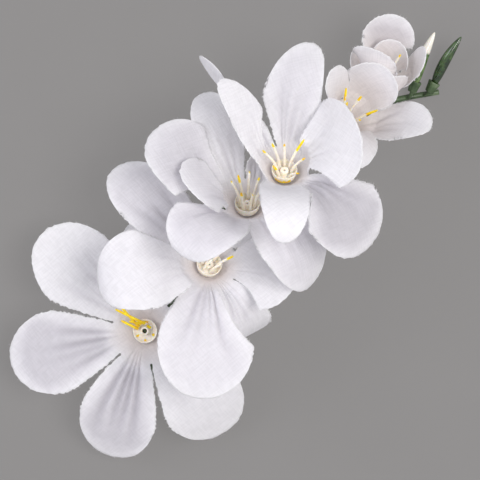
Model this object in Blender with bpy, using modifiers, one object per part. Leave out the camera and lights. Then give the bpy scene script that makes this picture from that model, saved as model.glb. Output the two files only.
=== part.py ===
"""Artificial freesia spray: six fabric blooms and two moulded buds on a green plastic stem.

The spray lies on a surface at Z = 0. Its stem runs along +X and its blooms open upwards. Each bloom is a
calyx pushed on a peg of the stem, a corolla cut from one sheet of fabric, and a stamen insert that holds it.
Lengths are in millimetres and angles in degrees until a mesh is made, which is in metres.
"""

from math import cos, pi, radians, sin, tan
from typing import NamedTuple

import bmesh
import bpy
import numpy as np
from mathutils import Vector
from mathutils.geometry import interpolate_bezier

MM = 0.001
GAP = 0.3  # clearance between pieces that touch on the real spray
UP = np.array([0.0, 0.0, 1.0])
SPRAY_MIDDLE = np.array([2.58, -0.65, 0.0])  # goes to the origin

# Corolla, cut from one sheet: a floor with a hole, a ring without slits, and six lobes.
FABRIC = 0.4
HOLE_RADIUS = 1.6
THROAT_RADIUS = 3.2
RING_LENGTH = 6.0
HALF_SLIT = 0.18
WIDEST_SECTOR = 40.0  # half of the widest sector that one lobe takes from the ring
SECTOR_TAPER = 0.98
TIP_ARC = 76.0
FLATTEN_LENGTH = 10.0  # a lobe loses the ring's roundness over this length
LOBE_ROWS, LOBE_COLUMNS, RING_ROWS = 7, 4, 2
CENTRELINE_STEPS = 160

# Stem and pegs.
STEM_ROUTE = ((-58, -23), (-39, -9.5), (-15, 2.5), (14, 6.3), (38, 2.5), (53.7, -3.7), (64.9, -10.4))
STEM_STEPS = 6  # between two points of the route
CUT_END_RADIUS, THIN_END_RADIUS = 1.25, 0.7
PEG_RADIUS, PEG_TIP_RADIUS, PEG_TIP_HEIGHT = 0.95, 0.45, 2.4
PEG_SHOULDER_DROP = 0.3

# Calyx and stamen insert, measured along the bloom's axis from the throat.
CALYX_LENGTH, CALYX_FOOT_RADIUS, CALYX_RIM_RADIUS = 8.0, 1.75, 2.9
INSERT_FOOT_RADIUS, INSERT_RIM_RADIUS, DISH_RADIUS = 2.4, 3.3, 2.6
INSERT_FLOOR, INSERT_RIM, TUBE_TOP = 1.4, 1.9, 3.1
TUBE_RADIUS = 1.15
FILAMENT_RADIUS, ANTHER_RADIUS, FILAMENT_RING = 0.32, 0.5, 1.85
THIN_TUBE = 0.6  # tubes up to this radius have fewer sides
TURNED_STEPS = 14

# Buds, each in a sleeve on a short peg.
BUD_LENGTH, BUD_RADIUS, BUD_FOOT_RADIUS = 17.8, 1.75, 0.9
SLEEVE_LENGTH, SLEEVE_FOOT_RADIUS, SLEEVE_MOUTH_RADIUS = 3.2, 1.15, 1.7
BUD_PEG_RADIUS = 0.55
BUD_TILT = 14.0


class Lobe(NamedTuple):
    """One lobe of a corolla, in its bloom's own frame."""

    turn: float  # direction round the bloom's axis
    mid: float  # elevation that its middle bends towards
    tip: float  # elevation at its tip
    half: float  # half of its greatest width
    length: float = 36.0
    lift: float = 0.0  # how far it stands inside its neighbours, or outside them if negative
    wrap: float = 0.0  # share of its width that keeps the ring's roundness
    twist: float = 0.0
    side: float = 0.0  # how far its tip turns round the axis
    widest: float = 0.6  # where along it is widest
    point: float = 0.0  # how pointed its tip is


class Filament(NamedTuple):
    """One stamen of an insert."""

    turn: float  # where it stands round the tube
    lean_turn: float  # where it leans to
    lean: float
    length: float


class Bloom(NamedTuple):
    """A bloom: where its throat is, how its axis leans, and how steep its cup is."""

    name: str
    throat: tuple
    lean_turn: float
    lean: float
    ring: float  # elevation at the throat
    slit: float  # elevation where the slits end
    peg_foot: tuple  # on the stem
    filaments: tuple
    lobes: tuple


class Bud(NamedTuple):
    """A closed bud: where its sleeve starts, and where it points."""

    name: str
    foot: tuple
    turn: float
    peg_foot: tuple


BLOOMS = (
    Bloom("1", throat=(-39.3, -5.3, 14), lean_turn=98, lean=5, ring=20, slit=8, peg_foot=(-46, -14.2), lobes=(
        Lobe(95, mid=4, tip=-8, half=11.4),
        Lobe(151, mid=-4, tip=-26, half=11.4),
        Lobe(210, mid=-24, tip=-50, half=10.6),
        Lobe(267, mid=-38, tip=-52, half=11.4),
        Lobe(330, mid=-49, tip=-80, half=9.2, length=32.5, side=-3),
        Lobe(40, mid=-26, tip=-60, half=10.2, side=11),
    ), filaments=(
        Filament(103, 90, 76, 8.5), Filament(26, 112, 62, 10.5), Filament(121, 112, 70, 5.5),
        Filament(60, 126, 48, 5), Filament(-20, 100, 30, 2.5),
    )),
    Bloom("2", throat=(-15.1, -3.9, 22), lean_turn=30, lean=24, ring=50, slit=34, peg_foot=(-19, 0.8), lobes=(
        Lobe(156, mid=42, tip=-75, half=11.5, length=31.5, lift=1.5),
        Lobe(226, mid=-20, tip=-45, half=12.8, length=38, lift=0.5),
        Lobe(260, mid=-95, tip=-120, half=8.5, lift=-0.5),
        Lobe(309, mid=22, tip=14, half=12, length=23.5, widest=0.62),
        Lobe(33, mid=20, tip=0, half=8, length=12, lift=-0.8, widest=0.75),
        Lobe(96, mid=4, tip=-22, half=9, length=36, lift=0.1),
    ), filaments=(
        Filament(10, -5, 42, 8.5), Filament(-50, -22, 40, 7), Filament(65, 10, 30, 7.5),
        Filament(120, 10, 24, 6.5), Filament(180, -10, 20, 6), Filament(240, -30, 24, 6),
    )),
    Bloom("3", throat=(3.2, 0.7, 26), lean_turn=46, lean=38, ring=55, slit=45, peg_foot=(-3, 5.4), lobes=(
        Lobe(127, mid=60, tip=-10, half=12.2, length=32, lift=0.3),
        Lobe(156, mid=66, tip=22, half=9, length=23, lift=2.6),
        Lobe(198, mid=57, tip=-84, half=10.3, length=32),
        Lobe(273, mid=-58, tip=-80, half=9.8, length=33.8, lift=-0.4, side=8, widest=0.52),
        Lobe(79, mid=49, tip=-11, half=6.8, length=33.5, lift=-1.4),
        Lobe(38, mid=60, tip=62, half=3, length=19.5, twist=75, side=20),
    ), filaments=(
        Filament(146, 138, 14, 11), Filament(100, 130, 7, 11.5), Filament(48, 48, 3, 12),
        Filament(0, -42, 7, 11.5), Filament(-48, -42, 14, 10.5), Filament(200, 170, 6, 8.5),
        Filament(-104, -70, 5, 8),
    )),
    Bloom("4", throat=(16.2, 0.65, 31), lean_turn=43, lean=38, ring=55, slit=48, peg_foot=(9, 6.4), lobes=(
        Lobe(51, mid=53, tip=5, half=7.8, length=35.5, side=-36, widest=0.5, point=0.2),
        Lobe(108, mid=76, tip=18, half=5.4, length=30, lift=0.8, widest=0.55, point=0.4),
        Lobe(92, mid=15, tip=0, half=4.2, length=38, lift=-1.2, twist=84, point=1),
        Lobe(231, mid=64, tip=-70, half=6.6, length=37, side=4),
        Lobe(277, mid=-29, tip=-69, half=11.7, lift=-0.6),
        Lobe(328, mid=40, tip=56, half=13.6, length=26.2, lift=3.0, widest=0.58, twist=14),
    ), filaments=(
        Filament(140, 138, 26, 10), Filament(98, 130, 14, 10.5), Filament(54, 90, 5, 9.5),
        Filament(186, 150, 20, 5.5), Filament(8, -14, 17, 12), Filament(-36, -48, 22, 8.5),
        Filament(-80, -70, 34, 5),
    )),
    Bloom("5", throat=(36.4, 0.5, 21), lean_turn=8, lean=45, ring=60, slit=70, peg_foot=(29, 4.8), lobes=(
        Lobe(110, mid=62, tip=50, half=5.3, length=19, lift=1.0, wrap=0.3, point=1, twist=-25),
        Lobe(20, mid=114, tip=90, half=9, length=22.2, lift=-1.2, wrap=0.5),
        Lobe(-63, mid=60, tip=2, half=7.2, length=26, lift=-1.3, point=0.3, side=6),
        Lobe(-140, mid=14, tip=-60, half=5.4, length=23, lift=0.7),
        Lobe(155, mid=58, tip=50, half=1.8, length=12, lift=-0.4),
        Lobe(190, mid=40, tip=0, half=1.8, length=12, lift=-1),
    ), filaments=(
        Filament(96, 84, 20, 11), Filament(150, 130, 10, 10), Filament(36, 20, 5, 10.5),
        Filament(-50, -74, 15, 12), Filament(-120, -100, 12, 8),
    )),
    Bloom("6", throat=(51.3, 0.8, 13), lean_turn=34, lean=46, ring=60, slit=70, peg_foot=(46, -1.0), lobes=(
        Lobe(50, mid=98, tip=70, half=7.5, length=21, lift=-1.4, wrap=0.3),
        Lobe(30, mid=96, tip=94, half=6, length=15, lift=0.5, wrap=1),
        Lobe(-34, mid=84, tip=80, half=5, length=17.8, lift=-1.6, wrap=0.3, point=1, twist=5),
        Lobe(124, mid=70, tip=72, half=4.8, length=11.5, lift=-2.4, wrap=0.6),
        Lobe(182, mid=92, tip=84, half=7.6, length=18.6, lift=1.2, wrap=0.4, twist=30),
        Lobe(-106, mid=88, tip=84, half=4.4, length=14, lift=-0.9, wrap=1),
    ), filaments=(
        Filament(0, -22, 10, 12), Filament(90, 90, 4, 9), Filament(180, 180, 4, 8), Filament(270, 270, 4, 7),
    )),
)

BUDS = (
    Bud("1", foot=(59.1, -5.4, 3.2), turn=27.6, peg_foot=(57.2, -6.0)),
    Bud("2", foot=(62.6, -8.6, 3.2), turn=18.3, peg_foot=(61.3, -8.5)),
)


def smooth(x):
    """Ease from 0 to 1."""
    x = np.clip(x, 0, 1)
    return x * x * (3 - 2 * x)


def bloom_frame(bloom):
    """The bloom's axis, and the two directions across it that turns are measured in."""
    lean, turn = radians(bloom.lean), radians(bloom.lean_turn)
    axis = np.array([sin(lean) * cos(turn), sin(lean) * sin(turn), cos(lean)])
    across = np.array([1.0, 0.0, 0.0]) - axis * axis[0]
    across /= np.linalg.norm(across)
    return axis, across, np.cross(axis, across)


def outward(bloom, degrees):
    """Directions away from the bloom's axis at the given turns."""
    _, across, beside = bloom_frame(bloom)
    turn = np.radians(degrees)
    return np.multiply.outer(np.cos(turn), across) + np.multiply.outer(np.sin(turn), beside)


class FoldedLobe:
    """A lobe's flat pattern, u across and v along from the throat, and the way it is folded in space."""

    def __init__(self, bloom, lobe, left, right):
        self.bloom, self.lobe, self.sectors = bloom, lobe, (left, right)
        axis = bloom_frame(bloom)[0]
        self.v = np.linspace(0, lobe.length, CENTRELINE_STEPS)
        t = np.clip((self.v - RING_LENGTH) / (lobe.length - RING_LENGTH), 0, 1)
        ring = bloom.ring + (bloom.slit - bloom.ring) * np.clip(self.v / RING_LENGTH, 0, 1)
        free = (1 - t) ** 2 * bloom.slit + 2 * t * (1 - t) * lobe.mid + t ** 2 * lobe.tip
        rise = np.radians(np.where(self.v < RING_LENGTH, ring, free))[:, None]
        self.out = outward(bloom, lobe.turn + lobe.side * t ** 1.5)
        along = np.cos(rise) * self.out + np.sin(rise) * axis
        steps = (along[1:] + along[:-1]) / 2 * self.v[1]
        start = np.array(bloom.throat) + THROAT_RADIUS * self.out[0]
        self.line = np.vstack([start, start + np.cumsum(steps, axis=0)])
        width = np.cross(axis, self.out)
        inner = np.cross(along, width)
        twist = np.radians(lobe.twist) * smooth(1.2 * t)[:, None]
        self.width = np.cos(twist) * width + np.sin(twist) * inner
        self.inner = np.cos(twist) * inner - np.sin(twist) * width
        arm = self.line - np.array(bloom.throat)
        self.radius = np.linalg.norm(arm - np.outer(arm @ axis, axis), axis=1)

    def at(self, values, v):
        """Values along the centreline, read at v."""
        return np.stack([np.interp(v, self.v, column) for column in values.T], axis=-1)

    def fold(self, u, v):
        """Points in space of the flat pattern's points."""
        lobe = self.lobe
        radius = self.radius_at(v)
        flat = smooth((v - RING_LENGTH) / FLATTEN_LENGTH) * (1 - lobe.wrap)
        round_turn = np.clip(u / np.maximum(radius, THROAT_RADIUS), -1.5, 1.5)
        across = (1 - flat) * radius * np.sin(round_turn) + flat * u
        sink = (1 - flat) * radius * (1 - np.cos(round_turn))
        lift = lobe.lift * smooth((v - 0.8 * RING_LENGTH) / 4)
        return (self.at(self.line, v) + self.at(self.width, v) * across[..., None]
                - self.at(self.out, v) * sink[..., None] + self.at(self.inner, v) * lift[..., None])

    def radius_at(self, v):
        """The centreline's distance from the bloom's axis at v."""
        return np.interp(v, self.v, self.radius)

    def ring_half(self, sector):
        """Half of the lobe's width where its slits end."""
        return self.radius_at(RING_LENGTH) * radians(sector) - HALF_SLIT

    def half_width(self, sector, v):
        """Half of the width at v: along the slit first, then rounded off into the widest part."""
        lobe, start = self.lobe, self.ring_half(sector)
        free = lobe.widest * lobe.length - RING_LENGTH
        t = np.clip((v - RING_LENGTH) / free, 0, 1)
        slope = tan(radians(sector * SECTOR_TAPER))
        slit = start + t * free * slope
        swell = start + (lobe.half - start) * (1 - (1 - t) ** 2.6)

        def lesser(a, b):
            return (a ** -8 + b ** -8) ** (-1 / 8)

        return lesser(slit, swell) + (lobe.half - lesser(start + free * slope, lobe.half)) * t ** 3

    def pattern(self, rows, columns):
        """The flat pattern of the free part: u and v of a grid whose last row is the round tip."""
        lobe, arc = self.lobe, radians(TIP_ARC)
        widest = lobe.widest * lobe.length
        tip = lobe.length - widest
        q = np.linspace(-1, 1, columns + 1)
        t = np.linspace(0, 1, rows + 1)[:, None]
        v = RING_LENGTH + (widest + tip * cos(arc) - RING_LENGTH) * t
        halves = [self.half_width(sector, np.minimum(v, widest)) for sector in self.sectors]
        rest = 1 - np.clip((v - widest) / tip, 0, 1) ** 2
        beyond = lobe.half * ((1 - lobe.point) * np.sqrt(rest) + lobe.point * rest)
        half = np.where(v > widest, beyond, np.where(q > 0, halves[0], halves[1]))
        bow = arc * t ** 1.5 + 1e-3
        u = half * np.sin(q * bow) / np.sin(bow)
        crown = tip * (1 - cos(arc)) * t ** 2
        return u, v + crown * (np.cos(q * bow) - np.cos(bow)) / (1 - np.cos(bow))


def folded_lobes(bloom):
    """The bloom's lobes in order round its axis, each with its share of the ring."""
    lobes = sorted(bloom.lobes, key=lambda lobe: lobe.turn % 360)
    between = [(after.turn - lobe.turn) % 360 / 2 for lobe, after in zip(lobes, lobes[1:] + lobes[:1])]
    shares = [min(half, WIDEST_SECTOR) for half in between]
    return [FoldedLobe(bloom, lobe, shares[i], shares[i - 1]) for i, lobe in enumerate(lobes)]


def ring_row(lobes, v):
    """Points round the ring at v: each lobe's columns in turn."""
    q = np.linspace(-1, 1, LOBE_COLUMNS + 1)
    row = []
    for lobe in lobes:
        halves = np.where(q > 0, lobe.ring_half(lobe.sectors[0]), lobe.ring_half(lobe.sectors[1]))
        shrink = lobe.radius_at(v) / lobe.radius_at(RING_LENGTH)
        row.append(lobe.fold(q * halves * shrink, np.full(q.shape, v)))
    return np.vstack(row)


def quads(rows):
    """Faces between rows of vertex numbers."""
    return [corners for lower, upper in zip(rows, rows[1:])
            for corners in zip(lower, lower[1:], upper[1:], upper)]


def corolla_sheet(bloom):
    """Vertices and faces of the corolla's middle surface."""
    lobes = folded_lobes(bloom)
    rings = [ring_row(lobes, v) for v in np.linspace(0, RING_LENGTH, RING_ROWS + 1)]
    throat = np.array(bloom.throat)
    hole = throat + (rings[0] - throat) * HOLE_RADIUS / THROAT_RADIUS
    points = np.vstack([hole, *rings])
    loops = np.arange(len(points)).reshape(RING_ROWS + 2, -1)
    faces = quads(np.hstack([loops, loops[:, :1]]))
    columns = LOBE_COLUMNS + 1
    for number, lobe in enumerate(lobes):
        free = lobe.fold(*lobe.pattern(LOBE_ROWS, LOBE_COLUMNS))[1:].reshape(-1, 3)
        root = loops[-1][number * columns:(number + 1) * columns]
        grid = len(points) + np.arange(len(free)).reshape(LOBE_ROWS, columns)
        faces += quads(np.vstack([root, grid]))
        points = np.vstack([points, free])
    return points, faces


def new_collection(name):
    """A collection in the scene."""
    collection = bpy.data.collections.new(name)
    bpy.context.scene.collection.children.link(collection)
    return collection


def add_object(name, data, collection, material=None):
    """An object in the collection, at the spray's origin."""
    obj = bpy.data.objects.new(name, data)
    obj.location = tuple(-SPRAY_MIDDLE * MM)
    if material:
        data.materials.append(material)
    collection.objects.link(obj)
    return obj


def mesh_from(name, points, faces=(), edges=()):
    """A mesh in metres from points in millimetres."""
    mesh = bpy.data.meshes.new(name)
    places = [tuple(point) for point in np.asarray(points) * MM]
    mesh.from_pydata(places, list(edges), [tuple(map(int, face)) for face in faces])
    return mesh


def tube(name, points, radii, collection, material=None):
    """A closed tube through the points, as a mesh."""
    curve = bpy.data.curves.new(name, "CURVE")
    curve.dimensions = "3D"
    curve.bevel_depth = MM
    curve.bevel_resolution = 2 if max(radii) > THIN_TUBE else 1
    curve.use_fill_caps = True
    spline = curve.splines.new("POLY")
    spline.points.add(len(points) - 1)
    for place, point, radius in zip(spline.points, points, radii):
        place.co = (*(np.asarray(point) * MM), 1)
        place.radius = radius
    guide = add_object(name + "_route", curve, collection)
    bpy.context.view_layer.update()
    evaluated = guide.evaluated_get(bpy.context.evaluated_depsgraph_get())
    mesh = bpy.data.meshes.new_from_object(evaluated)
    mesh.name = name
    mesh.materials.clear()
    bpy.data.objects.remove(guide)
    body = bmesh.new()
    body.from_mesh(mesh)
    bmesh.ops.remove_doubles(body, verts=body.verts, dist=0.01 * MM)
    body.to_mesh(mesh)
    body.free()
    mesh.shade_smooth()
    mesh.set_sharp_from_angle(angle=radians(40))
    return add_object(name, mesh, collection, material)


def turned(name, profile, foot, direction, collection, material):
    """A closed profile of (radius, height), turned round the axis that starts at foot."""
    reaches_axis = profile[0][0] == 0
    edges = [(i, (i + 1) % len(profile)) for i in range(len(profile) - reaches_axis)]
    outline = mesh_from(name, [(radius, 0, height) for radius, height in profile], edges=edges)
    obj = add_object(name, outline, collection, material)
    obj.location = (np.asarray(foot) - SPRAY_MIDDLE) * MM
    obj.rotation_mode = "QUATERNION"
    obj.rotation_quaternion = Vector(direction).to_track_quat("Z", "Y")
    screw = obj.modifiers.new("Turn", "SCREW")
    screw.steps = screw.render_steps = TURNED_STEPS
    screw.merge_threshold = 0.001 * MM
    screw.use_merge_vertices = True
    return obj


def join_to(obj, operands):
    """Unite the object with the pieces moulded to it."""
    union = obj.modifiers.new("Moulded together", "BOOLEAN")
    union.operation = "UNION"
    union.operand_type = "COLLECTION"
    union.collection = operands
    for operand in operands.objects:
        operand.hide_render = True
        operand.display_type = "WIRE"


def plastic_or_fabric(name, colour, roughness, subsurface=0.0):
    """A Principled material; the colour is linear."""
    material = bpy.data.materials.new(name)
    material.use_nodes = True
    shader = material.node_tree.nodes["Principled BSDF"]
    shader.inputs["Base Color"].default_value = (*colour, 1)
    shader.inputs["Roughness"].default_value = roughness
    shader.inputs["Metallic"].default_value = 0.0
    shader.inputs["Subsurface Weight"].default_value = subsurface
    material.diffuse_color = (*colour, 1)
    return material


def smooth_route(route, steps):
    """A smooth curve through the route's points, the same number of steps between each two."""
    route = np.asarray(route, dtype=float)
    slope = np.gradient(route, axis=0)
    points = []
    for start, end, leave, arrive in zip(route, route[1:], slope, slope[1:]):
        bend = interpolate_bezier(Vector(start), Vector(start + leave / 3),
                                  Vector(end - arrive / 3), Vector(end), steps + 1)
        points += [np.array(point) for point in bend[:-1]]
    return np.array(points + [route[-1]])


def stem_line():
    """The stem's centre line as it lies on the surface, and its radius at each point."""
    flat = smooth_route([(x, y, 0) for x, y in STEM_ROUTE], STEM_STEPS)
    radii = np.linspace(CUT_END_RADIUS, THIN_END_RADIUS, len(flat))
    return flat + np.outer(radii, UP), radii


def bloom_peg(bloom):
    """The peg's centre line from the stem to the insert, and its radii: it ends in a thin tip."""
    axis = bloom_frame(bloom)[0]
    throat = np.array(bloom.throat)
    straight = throat - (CALYX_LENGTH + 1) * axis
    foot = np.array([*bloom.peg_foot, CUT_END_RADIUS])
    reach = np.linalg.norm(straight - foot)
    lean = (straight - foot) * (0.25, 0.25, 0.4)
    bend = interpolate_bezier(Vector(foot), Vector(foot + lean), Vector(straight - 0.35 * reach * axis),
                              Vector(straight), 7)
    heights = (-PEG_SHOULDER_DROP, -PEG_SHOULDER_DROP + 0.1, PEG_TIP_HEIGHT)
    points = [np.array(point) for point in bend] + [throat + height * axis for height in heights]
    radii = [PEG_RADIUS] * (len(bend) + 1) + [PEG_TIP_RADIUS] * 2
    return points, radii


def make_stem(spray, pegs, material):
    """The stem with a peg for every bloom and bud, moulded in one."""
    stem = tube("stem", *stem_line(), spray, material)
    for bloom in BLOOMS:
        tube("peg_" + bloom.name, *bloom_peg(bloom), pegs)
    for bud in BUDS:
        foot, direction = np.array(bud.foot), bud_direction(bud)
        line = [np.array([*bud.peg_foot, THIN_END_RADIUS]), foot - 0.5 * direction,
                foot + (SLEEVE_LENGTH - 1) * direction]
        tube("bud_peg_" + bud.name, line, [BUD_PEG_RADIUS] * 3, pegs)
    join_to(stem, pegs)


def make_calyx(bloom, spray, material):
    """The flared cup under a corolla, bored for its peg."""
    top = -FABRIC / 2 - GAP
    bore = PEG_RADIUS + GAP
    profile = ((CALYX_RIM_RADIUS, top), (CALYX_RIM_RADIUS, top - 0.5), (2.35, -3.4),
               (CALYX_FOOT_RADIUS, -6.2), (CALYX_FOOT_RADIUS, -CALYX_LENGTH), (bore, -CALYX_LENGTH),
               (bore, top))
    turned("calyx_" + bloom.name, profile, bloom.throat, bloom_frame(bloom)[0], spray, material)


def make_corolla(bloom, spray, material):
    """The six-lobed sheet of fabric, folded into shape."""
    name = "corolla_" + bloom.name
    sheet = add_object(name, mesh_from(name, *corolla_sheet(bloom)), spray, material)
    sheet.data.shade_smooth()
    cloth = sheet.modifiers.new("Fabric", "SOLIDIFY")
    cloth.thickness = FABRIC * MM
    cloth.offset = 0


def make_insert(bloom, spray, stamens, material):
    """The dish and tube pushed on the peg's tip, with the stamens moulded to it."""
    axis = bloom_frame(bloom)[0]
    throat = np.array(bloom.throat)
    bottom = FABRIC / 2 + GAP
    bore = PEG_TIP_RADIUS + GAP
    rim = INSERT_RIM_RADIUS
    profile = ((TUBE_RADIUS, TUBE_TOP), (TUBE_RADIUS, INSERT_FLOOR), (DISH_RADIUS, INSERT_FLOOR),
               (rim - 0.2, INSERT_RIM), (rim, INSERT_RIM), (rim, INSERT_FLOOR),
               (INSERT_FOOT_RADIUS, bottom), (bore, bottom), (bore, TUBE_TOP))
    name = "insert_" + bloom.name
    insert = turned(name, profile, bloom.throat, axis, spray, material)
    for number, filament in enumerate(bloom.filaments, 1):
        foot = throat + FILAMENT_RING * outward(bloom, filament.turn) + (INSERT_FLOOR - 0.3) * axis
        lean = radians(filament.lean)
        reach = filament.length * (sin(lean) * outward(bloom, filament.lean_turn) + cos(lean) * axis)
        rise = 0.45 * filament.length * axis
        bend = interpolate_bezier(Vector(foot), Vector(foot + rise), Vector(foot + 0.6 * reach + 0.3 * rise),
                                  Vector(foot + reach), 5)
        radii = [FILAMENT_RADIUS] * (len(bend) - 1) + [ANTHER_RADIUS]
        tube(f"stamen_{bloom.name}_{number}", [np.array(point) for point in bend], radii, stamens)
    join_to(insert, stamens)


def bud_direction(bud):
    """Where a bud points."""
    tilt, turn = radians(BUD_TILT), radians(bud.turn)
    return np.array([cos(tilt) * cos(turn), cos(tilt) * sin(turn), sin(tilt)])


def make_bud(bud, spray, stem_plastic, bud_plastic):
    """A closed bud in the mouth of its sleeve."""
    direction = bud_direction(bud)
    bore = BUD_PEG_RADIUS + GAP
    seat = SLEEVE_LENGTH - 0.6
    sleeve = ((SLEEVE_MOUTH_RADIUS, SLEEVE_LENGTH), (1.45, 2.0), (SLEEVE_FOOT_RADIUS, 0), (bore, 0),
              (bore, seat), (BUD_FOOT_RADIUS + GAP, SLEEVE_LENGTH))
    turned("bud_calyx_" + bud.name, sleeve, bud.foot, direction, spray, stem_plastic)
    start = seat + GAP
    length = BUD_LENGTH - start
    side = [(BUD_RADIUS * sin(pi * t ** 0.75) ** 0.8 * (1 - 0.15 * t), start + length * t)
            for t in np.linspace(0.93, 0.12, 7)]
    profile = [(0, BUD_LENGTH), *side, (BUD_FOOT_RADIUS * 0.8, start), (0, start)]
    turned("bud_" + bud.name, profile, bud.foot, direction, spray, bud_plastic)


def make_spray():
    """Every piece of the spray."""
    for obj in list(bpy.data.objects):
        bpy.data.objects.remove(obj)
    spray = new_collection("freesia_spray")
    pegs = new_collection("pegs")
    fabric = plastic_or_fabric("petal_fabric", (0.9, 0.89, 0.92), 0.9, subsurface=0.1)
    stem_plastic = plastic_or_fabric("stem_plastic", (0.07, 0.16, 0.05), 0.4)
    insert_plastic = plastic_or_fabric("insert_plastic", (0.78, 0.68, 0.48), 0.5)
    bud_plastic = plastic_or_fabric("bud_plastic", (0.05, 0.12, 0.04), 0.3)
    make_stem(spray, pegs, stem_plastic)
    for bloom in BLOOMS:
        make_calyx(bloom, spray, stem_plastic)
        make_corolla(bloom, spray, fabric)
        make_insert(bloom, spray, new_collection("stamens_" + bloom.name), insert_plastic)
    for bud in BUDS:
        make_bud(bud, spray, stem_plastic, bud_plastic)


make_spray()
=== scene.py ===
# %% [markdown]
# # A spray of artificial freesias
# Six blooms of white fabric and two closed buds sit in a row on a moulded green stem. The spray lies on a
# table and its blooms open upwards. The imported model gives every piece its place, and this lesson dresses
# it: pressed and cut fabric, moulded plastic, dabs of yellow paint and a soft light.

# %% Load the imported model
import random
from math import cos, pi, radians, sin, tan
from typing import NamedTuple

import bmesh
import bpy
import numpy as np
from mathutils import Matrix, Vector, noise
from mathutils.geometry import interpolate_bezier


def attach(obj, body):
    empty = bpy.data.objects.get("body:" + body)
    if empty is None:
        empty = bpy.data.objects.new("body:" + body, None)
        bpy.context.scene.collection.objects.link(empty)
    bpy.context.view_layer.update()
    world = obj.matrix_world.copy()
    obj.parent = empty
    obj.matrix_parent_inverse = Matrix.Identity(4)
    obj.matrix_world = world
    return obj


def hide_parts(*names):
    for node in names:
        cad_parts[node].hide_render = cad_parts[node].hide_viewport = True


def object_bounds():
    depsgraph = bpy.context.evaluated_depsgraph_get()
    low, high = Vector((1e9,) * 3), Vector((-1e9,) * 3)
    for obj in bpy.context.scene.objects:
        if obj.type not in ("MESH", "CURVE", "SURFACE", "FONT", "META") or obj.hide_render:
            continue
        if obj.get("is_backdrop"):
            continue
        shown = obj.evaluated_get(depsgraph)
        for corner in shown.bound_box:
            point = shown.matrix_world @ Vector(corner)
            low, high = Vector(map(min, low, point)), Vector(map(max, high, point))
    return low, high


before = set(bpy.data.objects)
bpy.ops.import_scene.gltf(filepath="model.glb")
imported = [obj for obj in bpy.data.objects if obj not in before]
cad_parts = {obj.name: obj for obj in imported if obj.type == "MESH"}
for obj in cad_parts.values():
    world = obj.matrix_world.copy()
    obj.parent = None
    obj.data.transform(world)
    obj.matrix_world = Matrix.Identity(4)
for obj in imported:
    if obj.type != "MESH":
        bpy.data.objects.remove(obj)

cad_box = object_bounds()
MM = 0.001
UP = np.array([0.0, 0.0, 1.0])
print("The spray measures", [round(side / MM, 1) for side in cad_box[1] - cad_box[0]], "mm")

# %% [markdown]
# ## Colours and nodes
# Blender's shaders work in linear light, but a colour is easier to choose as the hex value that a screen
# shows. One function turns one into the other. A second function adds a node with its settings and links,
# so that a material reads as a short list of steps, and a third puts the result in a new material.

# %% A hex colour in linear light
def linear(code):
    """The linear RGBA of an sRGB hex colour."""
    channels = [int(code[i:i + 2], 16) / 255 for i in (1, 3, 5)]
    return (*[c / 12.92 if c <= 0.04045 else ((c + 0.055) / 1.055) ** 2.4 for c in channels], 1.0)


print("Mid grey in linear light:", [round(c, 3) for c in linear("#808080")[:3]])

# %% A node with its settings and links
def add(tree, kind, inputs=None, stops=(), **settings):
    """Adds a node. An input is a number, a hex colour, or the socket or node that feeds it; a node feeds with
    its first output. The stops of a colour ramp are (position, hex colour)."""
    node = tree.nodes.new(kind)
    for name, value in settings.items():
        setattr(node, name, value)
    for key, value in (inputs or {}).items():
        source = value.outputs[0] if isinstance(value, bpy.types.Node) else value
        if isinstance(source, bpy.types.NodeSocket):
            tree.links.new(source, node.inputs[key])
        else:
            node.inputs[key].default_value = linear(value) if str(value).startswith("#") else value
    for number, (position, code) in enumerate(stops):
        marks = node.color_ramp.elements
        mark = marks[number] if number < len(marks) else marks.new(position)
        mark.position, mark.color = position, linear(code)
    return node


print("A hex colour in a node's input is turned into linear light on the way")

# %% A new material
def make_material(name, shader):
    """A material whose surface is the node that the shader function makes in its empty tree."""
    material = bpy.data.materials.new(name)
    material.use_nodes = True
    tree = material.node_tree
    tree.nodes.clear()
    add(tree, "ShaderNodeOutputMaterial", {"Surface": shader(tree)})
    print("Made", name, "with", len(tree.nodes), "nodes")
    return material


print("Materials are named for their finish")

# %% [markdown]
# ## How a bloom is described
# A corolla is cut from one sheet of fabric, like a paper flower: a floor with a hole, a ring, and six lobes
# parted by slits. Each lobe is then bent up or down. The table below says, for each lobe, where it turns to
# and how steep it is halfway and at its tip. The solid model comes from nearly the same table, so both agree.

# %% What is told about each lobe, stamen, bloom and bud
class Lobe(NamedTuple):
    """One lobe of a corolla, in its bloom's own frame; lengths in mm, angles in degrees."""

    turn: float  # direction round the bloom's axis
    mid: float  # elevation that its middle bends towards
    tip: float  # elevation at its tip
    half: float  # half of its greatest width
    length: float = 36.0
    lift: float = 0.0  # how far it stands inside its neighbours, or outside them if negative
    wrap: float = 0.0  # share of its width that keeps the ring's roundness
    twist: float = 0.0
    side: float = 0.0  # how far its tip turns round the axis
    widest: float = 0.6  # where along its length it is widest
    point: float = 0.0  # 0 for a round tip, 1 for a pointed one
    crease: float = 1.0  # how deep its pressed creases are, and how much painted shade lies in them
    grey: float = 0.0  # how much painted shade greys the sheer lobe, standing in for the darker table seen through it


class Filament(NamedTuple):
    """One stamen of an insert."""

    turn: float  # where it stands round the tube
    lean_turn: float  # where it leans to
    lean: float
    length: float
    yellow: float = 0.5  # share of its length that is painted, from the tip


class Bloom(NamedTuple):
    """A bloom: where its throat is, how its axis leans, and how steep its cup is."""

    name: str
    throat: tuple
    lean_turn: float
    lean: float
    ring: float  # elevation at the throat
    slit: float  # elevation where the slits end
    peg_foot: tuple  # on the stem
    dabs: tuple  # turns of the yellow dabs on the insert
    filaments: tuple
    lobes: tuple


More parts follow.
